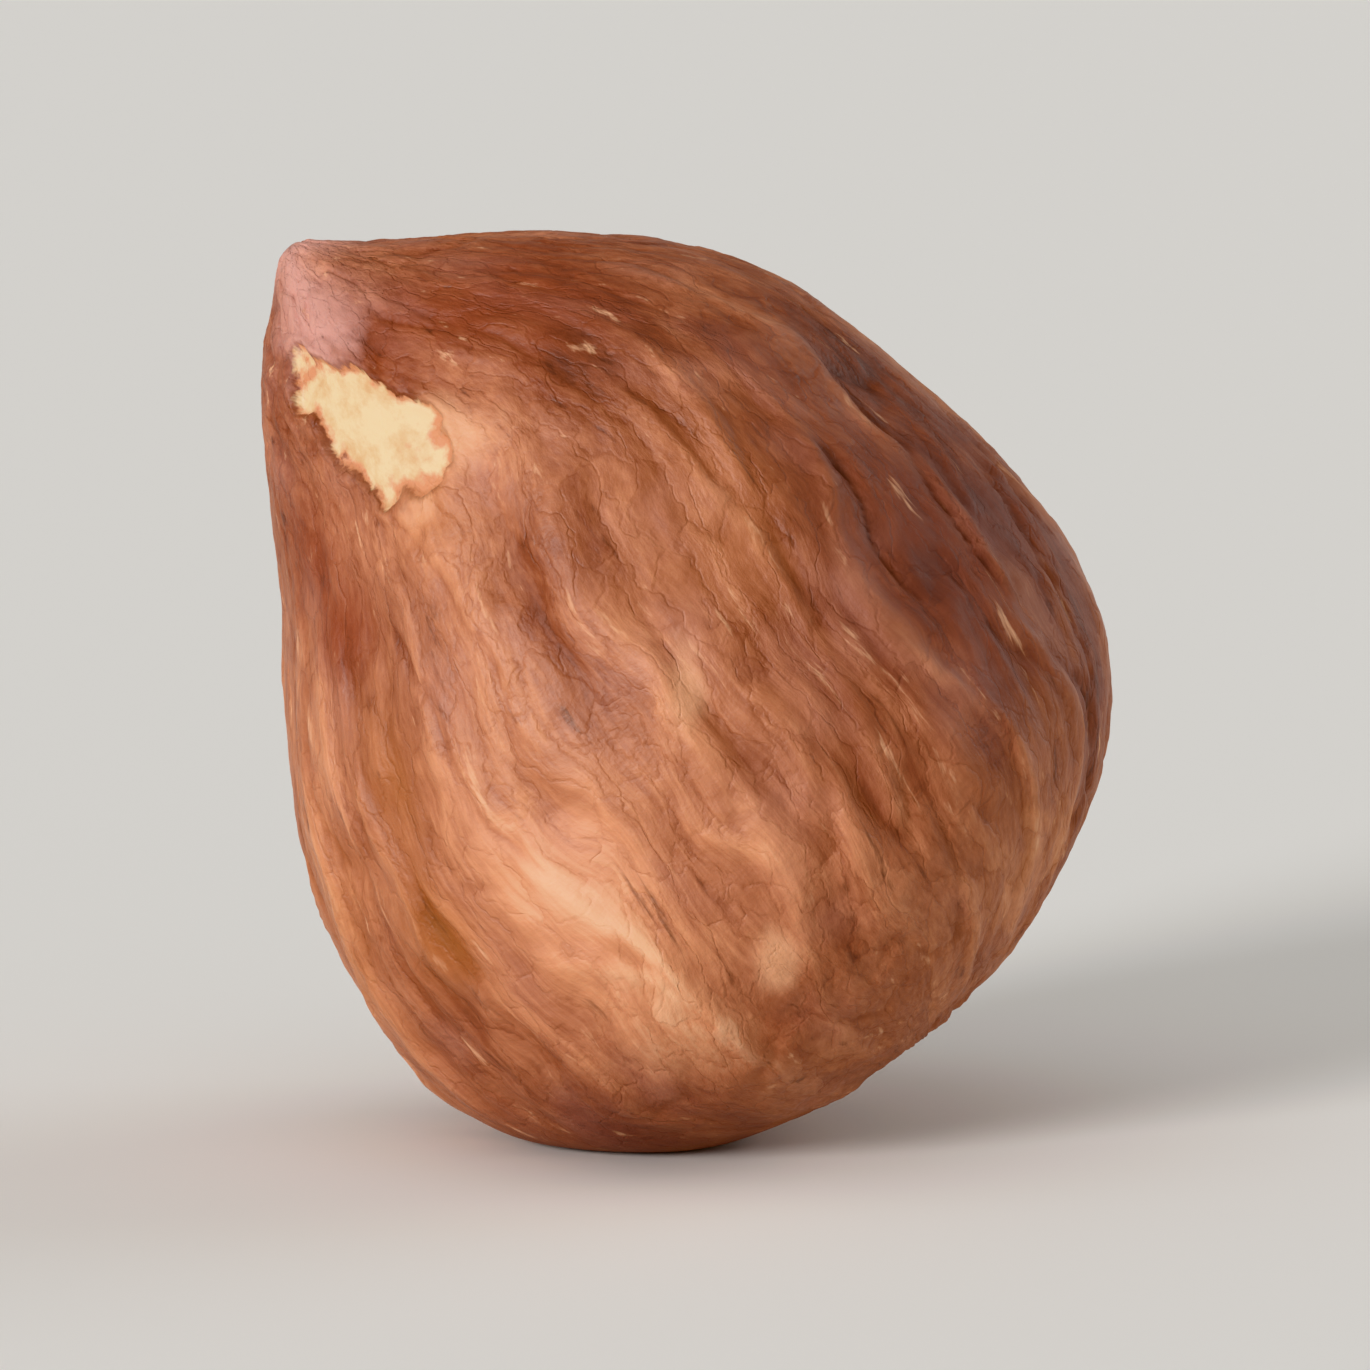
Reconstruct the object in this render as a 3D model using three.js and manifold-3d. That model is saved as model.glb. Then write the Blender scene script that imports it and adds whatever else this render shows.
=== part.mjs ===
// A shelled hazelnut kernel, leaning on the small flat spot that it comes to rest on.
//
// Frame: millimetres, +Z up. The origin is the middle of the flat spot, on the surface that the
// kernel rests on. The front faces -Y, and the pointed tip leans over towards -X.
//
// The kernel is first shaped upright in its own coordinates: `along` runs from the tip (0) to the
// broad base (1), and `turn` goes round the axis, with 0 at the front and 90 degrees at +X. The
// shaped kernel is then leaned over and its lowest point is cut off flat.

import * as THREE from 'three';
import { mergeVertices } from 'three/addons/utils/BufferGeometryUtils.js';
import Module from 'manifold-3d';

// Driving dimensions, in millimetres unless they say otherwise.
const LENGTH = 14.2;           // from the tip to the middle of the base
const WIDTH = 11.7;            // across the widest ring, left to right
const DEPTH = 11.3;            // across the widest ring, front to back
const WIDEST_ALONG = 0.68;     // share of the length, from the tip, where the widest ring lies
const LEAN = THREE.MathUtils.degToRad(37);  // how far the axis leans from upright
const SPOT_DEPTH = 0.32;       // how much of the lowest point the flat spot takes off

// The outline beside the widest ring: a blunt cone towards the tip and a full dome at the base.
const CONE_FULLNESS = 1.95;
const CONE_BLUNTNESS = 0.76;
const DOME_FULLNESS = 2.25;

// The middle of each ring lies off the straight axis, so the tip hooks over to the left.
const BODY_BOW = 0.03 * LENGTH;
const SHOULDER_BOW = 0.047 * LENGTH;
const SHOULDER_ALONG = 0.25;
const SHOULDER_REACH = 0.145;

// Lengthwise ridges of the seed coat: `turn` and `spread` in degrees round the axis, `from` and
// `to` as shares of the length, `height` in millimetres, negative for a furrow.
const RIDGES = [
  { turn: 3, spread: 10, from: 0.12, to: 0.66, height: 0.20 },
  { turn: -37, spread: 10, from: 0.42, to: 0.98, height: 0.20 },
  { turn: -16, spread: 8, from: 0.20, to: 0.80, height: -0.10 },
  { turn: 41, spread: 12, from: 0.30, to: 0.95, height: 0.13 },
  { turn: 78, spread: 11, from: 0.25, to: 0.92, height: 0.16 },
  { turn: 110, spread: 9, from: 0.35, to: 0.97, height: -0.12 },
  { turn: 139, spread: 12, from: 0.20, to: 0.90, height: 0.20 },
  { turn: 181, spread: 11, from: 0.30, to: 0.96, height: 0.18 },
  { turn: 207, spread: 9, from: 0.34, to: 0.90, height: -0.13 },
  { turn: 236, spread: 12, from: 0.22, to: 0.94, height: 0.18 },
  { turn: 284, spread: 11, from: 0.40, to: 0.96, height: 0.14 },
];

// Cheeks where the kernel grew against its shell, each given by the way it faces (x to the right,
// z from base to tip, in the kernel's own coordinates) and by its distance from the middle.
const CHEEKS = [
  { faces: new THREE.Vector3(-0.12, 0.06, -1), distance: 6.85 },
  { faces: new THREE.Vector3(-0.85, 0, 0.53), distance: 4.42 },
  { faces: new THREE.Vector3(0.2, 1, 0.1), distance: 5.35 },
];
const CHEEK_FIRMNESS = 0.85;   // share of what stands beyond a cheek that is pressed in

const RINGS = 38;
const SEGMENTS = 84;
const ON_SURFACE = 1e-4;       // a corner closer to the resting surface than this lies on it

const KERNEL_BROWN = '#a8684a';
const SKIN_ROUGHNESS = 0.55;

/** Half the width of the outline at a share of the length from the tip. */
function halfWidth(along) {
  if (along < WIDEST_ALONG) {
    const up = (WIDEST_ALONG - along) / WIDEST_ALONG;
    return (WIDTH / 2) * (1 - up ** CONE_FULLNESS) ** CONE_BLUNTNESS;
  }
  const down = (along - WIDEST_ALONG) / (1 - WIDEST_ALONG);
  return (WIDTH / 2) * Math.sqrt(Math.max(0, 1 - down ** DOME_FULLNESS));
}

/** How far the middle of a ring lies to the right of the straight axis. */
function bow(along) {
  const shoulder = (along - SHOULDER_ALONG) / SHOULDER_REACH;
  return SHOULDER_BOW * Math.exp(-(shoulder ** 2)) + BODY_BOW * Math.sin(Math.PI * along);
}

/** A bell that is 1 where `distance` is 0 and fades away past `reach`. */
function bell(distance, reach) {
  return Math.exp(-((distance / reach) ** 2));
}

/** The height of all ridges at a place on the skin. */
function ridgeHeight(along, turn) {
  let height = 0;
  for (const ridge of RIDGES) {
    const middle = (ridge.from + ridge.to) / 2;
    const lengthwise = bell(along - middle, (ridge.to - ridge.from) / 2);
    const apart = THREE.MathUtils.euclideanModulo(turn - ridge.turn + 180, 360) - 180;
    height += ridge.height * lengthwise * bell(apart, ridge.spread);
  }
  return height;
}

/** Presses a point back towards each cheek that it stands beyond. */
function pressCheeks(point) {
  for (const cheek of CHEEKS) {
    const facing = cheek.faces.clone().normalize();
    const beyond = point.dot(facing) - cheek.distance;
    if (beyond > 0) point.addScaledVector(facing, -beyond * CHEEK_FIRMNESS);
  }
}

/** The kernel's skin as a lathed outline, with its own oval, bow, ridges and cheeks. */
function kernelGeometry() {
  const profile = [];
  for (let ring = 0; ring <= RINGS; ring += 1) {
    // Rings crowd towards both ends, where the outline turns fastest.
    const along = (1 - Math.cos((Math.PI * ring) / RINGS)) / 2;
    profile.push(new THREE.Vector2(halfWidth(along), LENGTH * (1 - along)));
  }
  // The profile runs from the tip down, because standing the lathe's Y axis up as Z turns its
  // faces round.
  const lathe = new THREE.LatheGeometry(profile, SEGMENTS);
  lathe.deleteAttribute('normal');
  lathe.deleteAttribute('uv');
  const geometry = mergeVertices(lathe);

  const place = geometry.getAttribute('position');
  const point = new THREE.Vector3();
  for (let i = 0; i < place.count; i += 1) {
    const x = place.getX(i);
    const y = place.getZ(i);
    const along = 1 - place.getY(i) / LENGTH;
    const turn = THREE.MathUtils.radToDeg(Math.atan2(x, -y));
    // Ridges swell a ring by a share of its radius, so that they fade out towards both ends.
    const swell = 1 + ridgeHeight(along, turn) / (WIDTH / 2);
    point.set(x * swell + bow(along), y * swell * (DEPTH / WIDTH), place.getY(i) - LENGTH / 2);
    pressCheeks(point);
    place.setXYZ(i, point.x, point.y, point.z);
  }
  return geometry;
}

/** A closed solid of a geometry whose shared vertices are merged. */
function solidOf(wasm, geometry) {
  const corners = geometry.index.array;
  const kept = [];
  for (let i = 0; i < corners.length; i += 3) {
    const [a, b, c] = [corners[i], corners[i + 1], corners[i + 2]];
    if (a !== b && b !== c && c !== a) kept.push(a, b, c);
  }
  const vertProperties = new Float32Array(geometry.getAttribute('position').array);
  return new wasm.Manifold(new wasm.Mesh({ numProp: 3, vertProperties, triVerts: new Uint32Array(kept) }));
}

/** The geometry of a solid. */
function geometryOf(solid) {
  const mesh = solid.getMesh();
  const geometry = new THREE.BufferGeometry();
  geometry.setAttribute('position', new THREE.BufferAttribute(mesh.vertProperties, 3));
  geometry.setIndex(new THREE.BufferAttribute(mesh.triVerts, 1));
  return geometry;
}

/** A box that fills the space under the resting surface, wide enough for the whole kernel. */
function underSurface(wasm) {
  const side = 2 * LENGTH;
  const box = new THREE.BoxGeometry(side, side, side).translate(0, 0, -side / 2);
  box.deleteAttribute('normal');
  box.deleteAttribute('uv');
  return solidOf(wasm, mergeVertices(box));
}

/** The middle of the flat spot, which is all that touches the resting surface. */
function middleOfSpot(geometry) {
  const place = geometry.getAttribute('position');
  const spot = new THREE.Box3();
  for (let i = 0; i < place.count; i += 1) {
    const corner = new THREE.Vector3().fromBufferAttribute(place, i);
    if (corner.z < ON_SURFACE) spot.expandByPoint(corner);
  }
  return spot.getCenter(new THREE.Vector3());
}

const wasm = await Module();
wasm.setup();

const leaning = kernelGeometry().rotateY(-LEAN);
leaning.computeBoundingBox();
leaning.translate(0, 0, -leaning.boundingBox.min.z - SPOT_DEPTH);
const resting = geometryOf(solidOf(wasm, leaning).subtract(underSurface(wasm)));
const spot = middleOfSpot(resting);
resting.translate(-spot.x, -spot.y, 0);

const kernel = new THREE.Mesh(
  resting.toNonIndexed(),
  new THREE.MeshStandardMaterial({ color: KERNEL_BROWN, roughness: SKIN_ROUGHNESS, metalness: 0 }),
);
kernel.geometry.computeVertexNormals();
kernel.name = 'kernel';

const group = new THREE.Group();
group.add(kernel);
export default group;
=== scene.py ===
"""A shelled hazelnut kernel in its papery brown skin, leaning on the flat spot that it rests on.

The kernel is one grown piece. A sphere is shaped ring by ring into the stout teardrop, leaned
over, drawn on to the fixed model of the frame and made fine. The seed coat is then worked into
its surface: ridges and furrows, veins that fan out from the scar on the base, wrinkles, scuffs
where the outer layer has flaked, and the bare patch below the tip where the skin is gone.

Places on the skin are given as a grower would: `along` runs from the tip (0) to the base (1), and
`turn` goes round the kernel in degrees, with 0 at the front and 90 at the right.
"""
import logging
import math
import random
from collections.abc import Iterator
from contextlib import contextmanager
from dataclasses import dataclass, field, replace
from enum import Enum

import bmesh
import bpy
import numpy as np
from bpy.types import Material, Node, NodeSocket, NodeTree, Object
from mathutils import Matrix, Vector, noise


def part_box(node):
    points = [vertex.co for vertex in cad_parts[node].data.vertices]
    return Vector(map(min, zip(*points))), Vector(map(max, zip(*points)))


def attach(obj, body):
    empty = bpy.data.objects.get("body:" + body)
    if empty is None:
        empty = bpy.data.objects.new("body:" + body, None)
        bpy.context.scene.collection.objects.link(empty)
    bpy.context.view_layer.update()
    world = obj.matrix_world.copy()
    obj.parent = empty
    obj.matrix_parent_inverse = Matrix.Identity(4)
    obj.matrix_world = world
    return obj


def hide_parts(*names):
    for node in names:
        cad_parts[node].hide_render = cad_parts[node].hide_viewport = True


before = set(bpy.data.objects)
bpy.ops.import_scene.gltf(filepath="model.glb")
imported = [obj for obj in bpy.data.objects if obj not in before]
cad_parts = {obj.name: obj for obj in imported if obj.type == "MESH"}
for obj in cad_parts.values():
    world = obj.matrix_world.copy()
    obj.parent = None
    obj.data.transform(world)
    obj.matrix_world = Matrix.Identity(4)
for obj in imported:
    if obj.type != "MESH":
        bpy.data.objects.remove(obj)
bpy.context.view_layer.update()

MM = 0.001
NODE = "kernel"
# What is written on the vertices for the skin's material to read.
MARKS = (
    "relief", "veins", "worn", "bare", "paper", "scar", "tone_and_painted_light", "fleck", "golden", "plum_and_painted_shade", "reddened",
)
HALFWAY = 0.5                       # along the kernel, between its tip and its base
BARE_EDGE = 0.5                     # the value of the "bare" mark at the edge of the bare patch
SAME_RING = 1e-4                    # vertices as near as this along the kernel share a ring
ON_AXIS = 1e-6                      # a vertex as near as this to the axis is a pole
SAME_POINT = 1e-7                   # metres between vertices that are merged

log = logging.getLogger("hazelnut")


class SkinColour(Enum):
    """The colours of a dried hazelnut skin and of the flesh under it."""

    UMBER = "#4c2618"
    CHESTNUT = "#83472f"
    RUSSET = "#a96a4c"
    ORANGE_TAN = "#cc8b66"
    STRAW = "#e4b08a"
    # also the colour of painted shade
    PLUM_AND_PAINTED_SHADE = "#74443a"
    GOLD = "#ab6630"
    RED_BROWN = "#8a3d20"
    PINK_PAPER = "#d9a296"
    CREAM = "#dfc59b"
    CREAM_SHADE = "#c9a276"
    SCAR_GREY = "#a98c77"


def linear(colour: str) -> tuple[float, float, float, float]:
    """Turns an sRGB colour into the linear values that shaders take.

    Args:
        colour: the colour as "#rrggbb".

    Returns:
        Red, green, blue and an alpha of 1.
    """
    shares = [share / 255 for share in bytes.fromhex(colour[1:])]
    # The sRGB curve: straight at first, and then a power.
    red, green, blue = (s / 12.92 if s <= 0.04045 else ((s + 0.055) / 1.055) ** 2.4 for s in shares)
    return red, green, blue, 1.0


def add_node(
    tree: NodeTree,
    kind: str,
    links: dict[str | int, NodeSocket] | None = None,
    values: dict[str | int, object] | None = None,
    stops: tuple[tuple[float, SkinColour], ...] = (),
    **settings: object,
) -> Node:
    """Adds a node with its settings, its socket values and its links.

    Args:
        tree: the node tree of the material or the world.
        kind: the shader node's type name, without "ShaderNode".
        links: input name or number to the output socket that feeds it.
        values: input name or number to its fixed value.
        stops: for a colour ramp, each stop's place and colour.
        settings: the node's own settings, by name.

    Returns:
        The new node.
    """
    node = tree.nodes.new("ShaderNode" + kind)
    for name, value in settings.items():
        setattr(node, name, value)
    for name, value in (values or {}).items():
        node.inputs[name].default_value = value
    for name, source in (links or {}).items():
        tree.links.new(source, node.inputs[name])
    if stops:
        ramp = node.color_ramp
        while len(ramp.elements) < len(stops):
            ramp.elements.new(1.0)
        for element, (place, colour) in zip(ramp.elements, stops):
            element.position = place
            element.color = linear(colour.value)
    return node


def empty_material(name: str) -> tuple[Material, NodeTree]:
    """Makes a material with no nodes in its tree.

    Args:
        name: the finish's name.

    Returns:
        The material and its node tree.
    """
    material = bpy.data.materials.new(name)
    material.use_nodes = True
    material.node_tree.nodes.clear()
    return material, material.node_tree


def pick(obj: Object) -> None:
    """Selects one object alone and makes it the active one.

    Args:
        obj: the object to work on next.
    """
    bpy.ops.object.select_all(action="DESELECT")
    obj.select_set(True)
    bpy.context.view_layer.objects.active = obj


@contextmanager
def editing(obj: Object) -> Iterator[None]:
    """Opens one object in edit mode, with its whole mesh selected, and closes it after the work.

    Args:
        obj: the object to work on.

    Yields:
        Nothing, as operators do the work.
    """
    pick(obj)
    bpy.ops.object.mode_set(mode="EDIT")
    bpy.ops.mesh.select_all(action="SELECT")
    yield
    bpy.ops.object.mode_set(mode="OBJECT")


def apply_modifier(obj: Object, kind: str, **settings: object) -> None:
    """Adds a modifier to an object and applies it.

    Args:
        obj: the object to change.
        kind: the modifier's type.
        settings: the modifier's own settings, by name.
    """
    pick(obj)
    modifier = obj.modifiers.new(kind.title(), kind)
    for name, value in settings.items():
        setattr(modifier, name, value)
    bpy.ops.object.modifier_apply(modifier=modifier.name)


def bell(distance: np.ndarray, reach: float) -> np.ndarray:
    """A bell that is 1 at no distance and fades out past its reach."""
    return np.exp(-((distance / reach) ** 2))


def rise(value: np.ndarray, start: float, end: float) -> np.ndarray:
    """A smooth step from 0 at `start` to 1 at `end`."""
    share = np.clip((value - start) / (end - start), 0.0, 1.0)
    return share * share * (3.0 - 2.0 * share)


@dataclass
class Growth:
    """Where each vertex of the kernel lies on the grown skin."""

    along: np.ndarray
    turn: np.ndarray
    girth_mm: np.ndarray            # distance from the kernel's axis
    radius_mm: float                # half the widest ring
    length_mm: float

    def apart(self, turn: float | np.ndarray) -> np.ndarray:
        """Degrees round the kernel from a turn, from -180 to 180."""
        return (self.turn - turn + 180.0) % 360.0 - 180.0

    def across(self, turn: float | np.ndarray) -> np.ndarray:
        """Millimetres round the kernel from a turn."""
        return np.radians(self.apart(turn)) * self.girth_mm

    def grain(self) -> np.ndarray:
        """Coordinates in millimetres that follow the skin.

        Towards both ends a pattern narrows half as fast as the kernel does, so that it never
        pinches into rays.

        Returns:
            For each vertex, its place round the skin in X and Y, and along it in Z.
        """
        reach = np.sqrt(self.girth_mm * self.radius_mm)
        turn = np.radians(self.turn)
        return np.column_stack((np.sin(turn) * reach, -np.cos(turn) * reach, self.along * self.length_mm))

    def wavered(self, wavers: tuple["Waver", ...]) -> "Growth":
        """The same growth with its lengthwise lines wavering to both sides.

        Args:
            wavers: noise whose strength is how many degrees it turns a line.

        Returns:
            A growth whose turns are moved.
        """
        return replace(self, turn=self.turn + sum(waver.over(self) for waver in wavers))


@dataclass(frozen=True)
class Waver:
    """Noise that can be drawn out from tip to base, as the fibres of the skin are."""

    across_mm: float                # the width of one streak at the widest ring
    along_mm: float
    seed: float                     # moves the pattern, so that two of them differ
    octaves: int = 2                # how many finer copies are laid over it
    strength: float = 1.0
    fade: float = 1.0               # how fast the finer copies lose strength
    gap: float = 2.1                # how much finer each copy is than the one before

    def over(self, growth: Growth) -> np.ndarray:
        """The noise on the skin.

        Args:
            growth: where each vertex lies on the skin.

        Returns:
            A value for each vertex, about as far to both sides of 0 as the strength.
        """
        points = growth.grain() / np.array((self.across_mm, self.across_mm, self.along_mm)) + self.seed
        values = [noise.fractal(Vector(point), self.fade, self.gap, self.octaves) for point in points]
        return np.array(values) * self.strength


@dataclass(frozen=True)
class Ridge:
    """A lengthwise ridge of the skin, or a furrow where its height is negative."""

    turn: float
    start: float
    end: float
    half_width_mm: float
    height_mm: float

    def relief(self, growth: Growth) -> np.ndarray:
        """How high the ridge stands.

        Args:
            growth: where each vertex lies on the skin.

        Returns:
            The height at each vertex, in millimetres.
        """
        middle, reach = (self.start + self.end) / 2, (self.end - self.start) / 2
        lengthwise = bell(growth.along - middle, reach)
        return self.height_mm * lengthwise * bell(growth.across(self.turn), self.half_width_mm)


@dataclass(frozen=True)
class Patch:
    """A stretch of skin with a soft or ragged edge. Its lean turns its long side from upright."""

    turn: float
    along: float
    wide_mm: float
    long_mm: float
    strength: float = 1.0
    lean: float = 0.0

    def distance(self, growth: Growth) -> np.ndarray:
        """How far out each vertex lies.

        Args:
            growth: where each vertex lies on the skin.

        Returns:
            0 in the middle of the patch and 1 at its edge.
        """
        across = growth.across(self.turn)
        lengthwise = (growth.along - self.along) * growth.length_mm
        lean = math.radians(self.lean)
        side = across * math.cos(lean) - lengthwise * math.sin(lean)
        up = across * math.sin(lean) + lengthwise * math.cos(lean)
        return np.hypot(side / (self.wide_mm / 2), up / (self.long_mm / 2))


def each(kind: type, *rows: tuple[float, ...]) -> tuple:
    """Makes one thing of a kind from each row of a table.

    Args:
        kind: the class of what is made.
        rows: the values of each, in the order of the class's fields.

    Returns:
        What is made, in the order of the rows.
    """
    return tuple(kind(*row) for row in rows)


def cover(patches: tuple[Patch, ...], growth: Growth, uneven: np.ndarray) -> np.ndarray:
    """How much of a set of soft patches lies on each vertex.

    Args:
        patches: the patches, each with its own strength.
        growth: where each vertex lies on the skin.
        uneven: what is added to each vertex's distance, to break up the edges.

    Returns:
        The sum of their strengths.
    """
    total = np.zeros_like(growth.along)
    for patch in patches:
        total += patch.strength * bell(patch.distance(growth) + uneven, 1.0)
    return total


@dataclass(frozen=True)
class Veins:
    """Veins that leave the base scar, wander towards the tip and fork on the way.

    A pair of values is the least and the most that is drawn for one vein.
    """

    count: int = 17
    seed: int = 7
    half_width_mm: float = 0.15
    height_mm: float = 0.11
    uneven_gaps: float = 0.3        # share of a gap that a vein may stray
    ends: tuple[float, float] = (0.04, 0.40)
    fade_in: float = 0.2
    strengths: tuple[float, float] = (0.45, 1.0)
    forks: tuple[float, float] = (0.45, 0.85)
    fork_spread: tuple[float, float] = (9.0, 15.0)      # degrees
    fork_reach: float = 0.25
    fork_strength: float = 0.6
    waver: float = 8.0              # degrees
    waver_rate: float = 5.0         # how often a vein wavers from tip to base
    waver_span: float = 100.0       # how far apart in the noise the veins' wavers may be read,
    waver_slice: float = 0.5        # and on which slice of it
    steps: int = 120
    whole: float = 0.55             # strength left where a vein is worn
    breaks: Waver = Waver(across_mm=1.0, along_mm=2.2, seed=64.0)
    break_edge: tuple[float, float] = (-0.35, 0.2)      # noise from worn to whole

    def crests(self, growth: Growth) -> np.ndarray:
        """Draws the veins on the skin.

        Args:
            growth: where each vertex lies on the skin.

        Returns:
            1 on the crest of the strongest vein, down to 0 between the veins.
        """
        draw = random.Random(self.seed)
        steps = np.linspace(0.0, 1.0, self.steps)
        crests = np.zeros_like(growth.along)
        for number in range(self.count):
            turn = 360.0 * (number + draw.uniform(-self.uneven_gaps, self.uneven_gaps)) / self.count
            place = draw.uniform(0.0, self.waver_span)
            end = draw.uniform(*self.ends)
            strength = draw.uniform(*self.strengths)
            fork = draw.uniform(*self.forks)
            spread = draw.choice((-1, 1)) * draw.uniform(*self.fork_spread)
            waver = [
                noise.noise(Vector((place, self.waver_rate * step, self.waver_slice))) for step in steps
            ]
            line = turn + np.interp(growth.along, steps, waver) * self.waver
            for side, share in ((0.0, 1.0), (spread, self.fork_strength)):
                path = line + side * rise(fork - growth.along, 0.0, self.fork_reach)
                crest = bell(growth.across(path), self.half_width_mm)
                crest *= rise(growth.along, end, end + self.fade_in)
                crests = np.maximum(crests, crest * strength * share)
        unbroken = rise(self.breaks.over(growth), *self.break_edge)
        return crests * (self.whole + (1 - self.whole) * unbroken)


@dataclass
class SeedCoat:
    """The seed coat's relief and the marks on it. Every height and depth is in millimetres."""

    # Rows of turn, start, end, half width and height.
    ridges: tuple[Ridge, ...] = each(
        Ridge,
        (-13.0, 0.24, 0.60, 0.26, 0.13),
        (3.0, 0.30, 0.66, 0.28, 0.14),
        (-5.0, 0.26, 0.60, 0.18, -0.12),
        (-25.0, 0.40, 0.90, 0.50, 0.15),
        (-35.0, 0.42, 0.80, 0.26, -0.08),
        (14.0, 0.50, 0.95, 0.36, 0.07),
        (33.0, 0.12, 0.78, 0.36, 0.08),
        (58.0, 0.45, 0.98, 0.34, 0.10),
        (-68.0, 0.25, 0.85, 0.30, 0.10),
        (-95.0, 0.20, 0.90, 0.34, 0.12),
        (95.0, 0.25, 0.96, 0.32, 0.11),
        (150.0, 0.02, 0.97, 0.24, 0.16),
        (188.0, 0.18, 0.80, 0.20, -0.10),
        (205.0, 0.30, 0.95, 0.28, 0.12),
    )
    # Rows of turn, along, width, length, strength, and lean where there is one.
    tones_and_painted_light: tuple[Patch, ...] = each(
        Patch,
        # painted shade: the upper right, turned away from the key light, is darkened
        (54.0, 0.56, 6.0, 6.5, -0.30),
        (24.0, 0.64, 3.4, 3.6, -0.05),
        (9.5, 0.575, 0.6, 1.2, 0.12, -37.0),
        (30.0, 0.14, 4.2, 2.8, -0.26),
        (24.0, 0.31, 3.2, 2.6, -0.15),
        (2.0, 0.42, 1.6, 2.0, -0.07),
        # painted shadow below the lower left edge of the bare patch
        (-33.0, 0.21, 0.9, 1.4, -0.18, 34.0),
        (-58.0, 0.23, 2.2, 2.4, -0.20),
        (-46.0, 0.32, 1.3, 0.9, -0.22),
        (-47.0, 0.60, 0.8, 1.1, -0.30),
        (-6.0, 0.23, 1.4, 1.3, 0.20),
        # painted highlight along the ridge on the lower left
        (-24.0, 0.63, 2.1, 4.6, 0.09),
        (-2.0, 0.82, 4.6, 2.8, 0.10),
        # painted shade at the bottom, by the flat spot
        (-54.0, 0.88, 4.6, 2.6, -0.12),
        (40.0, 0.90, 3.0, 1.6, 0.12),
        (20.0, 0.80, 3.0, 2.4, 0.08),
        (150.0, 0.45, 6.5, 6.0, -0.16),
        (230.0, 0.55, 5.0, 7.0, 0.14),
    )
    golden: tuple[Patch, ...] = each(
        Patch,
        (-40.0, 0.45, 1.0, 2.0, 0.8),
        (-47.0, 0.60, 1.5, 1.9, 1.0),
        (-72.0, 0.55, 2.0, 3.2, 0.7),
        (-14.0, 0.27, 1.2, 0.9, 0.5),
        (26.0, 0.44, 2.6, 3.2, 0.4),
        (120.0, 0.62, 3.0, 3.0, 0.7),
        (215.0, 0.70, 2.6, 2.6, 0.8),
    )
    # Plum stretches. The first two are painted shade: one on the upper right, turned away from the key
    # light, and one at the bottom by the flat spot. The one on the back is plum colour.
    plum_and_painted_shade: tuple[Patch, ...] = each(
        Patch,
        (57.0, 0.58, 4.6, 5.0, 0.9),
        (-54.0, 0.88, 5.6, 2.6, 1.0),
        (165.0, 0.30, 5.0, 4.0, 0.5),
    )
    reddened: tuple[Patch, ...] = each(
        Patch,
        (28.0, 0.14, 4.2, 2.2, 0.9),
        (-54.0, 0.23, 1.8, 1.8, 0.8),
        (-46.0, 0.32, 1.3, 0.9, 0.8),
        (-17.0, 0.87, 1.8, 0.8, 0.6),
        (200.0, 0.20, 3.6, 2.8, 0.6),
    )
    flecks: tuple[Patch, ...] = each(
        Patch,
        (-8.0, 0.212, 0.9, 1.5, 1.0, 48.0),
        (5.8, 0.544, 0.55, 1.3, 1.0, -37.0),
        (-6.0, 0.80, 0.62, 0.75, 1.0, -30.0),
        (-16.0, 0.262, 0.5, 0.4, 0.5),
        (118.0, 0.50, 0.4, 0.9, 0.8, 15.0),
        (-140.0, 0.42, 0.5, 0.8, 0.8, -10.0),
    )
    bare: Patch = Patch(turn=-21.0, along=0.166, wide_mm=1.35, long_mm=2.5, lean=30.0)
    veins: Veins = Veins()

    pleats: Waver = Waver(across_mm=1.7, along_mm=6.5, seed=3.7, strength=0.10)
    creases: Waver = Waver(across_mm=1.25, along_mm=6.0, seed=8.1)
    fine_creases: Waver = Waver(across_mm=0.62, along_mm=2.6, seed=44.0)
    wrinkles: Waver = Waver(across_mm=0.42, along_mm=1.3, seed=5.5, octaves=3, strength=0.042)
    crackle: Waver = Waver(across_mm=0.28, along_mm=0.28, seed=71.0, strength=0.012)
    drawn: Waver = Waver(across_mm=4.0, along_mm=5.0, seed=21.9, octaves=1)
    crease_width: float = 0.09      # how near its middle line a crease's noise is cut
    crease_depth: float = 0.085
    fine_crease_depth: float = 0.03
    least_drawn: float = 0.45       # share of the creases left where the skin dried smooth
    drawn_at_tip: float = 0.6
    drawn_tip_reach: float = 0.16

    scuffs: Waver = Waver(across_mm=1.15, along_mm=2.4, seed=52.0, octaves=4)
    scuff_edge: tuple[float, float] = (0.22, 0.34)      # noise from whole to flaked
    scuff_depth: float = 0.02
    mark_edge: Waver = Waver(across_mm=1.4, along_mm=2.2, seed=33.0, octaves=3, strength=0.45)
    fleck_edge: Waver = Waver(across_mm=0.5, along_mm=0.8, seed=35.0, octaves=3, strength=0.50)

    tear: Waver = Waver(across_mm=0.8, along_mm=0.8, seed=41.3, octaves=3, strength=0.40)
    flesh_grain: Waver = Waver(across_mm=0.5, along_mm=0.5, seed=91.0, strength=0.015)
    flesh_depth: float = 0.14
    flesh_edge: tuple[float, float] = (0.94, 1.08)      # the step down to it, round the edge at 1
    lip_breaks: Waver = Waver(across_mm=0.6, along_mm=0.6, seed=19.0, octaves=1)
    lip_place: float = 1.18         # just outside the patch's edge, which is at 1
    lip_reach: float = 0.14
    lip_height: float = 0.08
    least_lip: float = 0.3

    nub_radius: float = 0.6
    nub_height: float = 0.22
    nub_raggedness: float = 3.0     # how much more than below it the pink strays on the nub
    paper_edge: Waver = Waver(across_mm=1.0, along_mm=1.3, seed=61.0, octaves=3, strength=0.05)
    paper_turn: float = -22.0
    paper_reach: float = 30.0       # degrees
    paper_end: tuple[float, float] = (0.06, 0.11)       # along the kernel, from pink to brown

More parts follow.
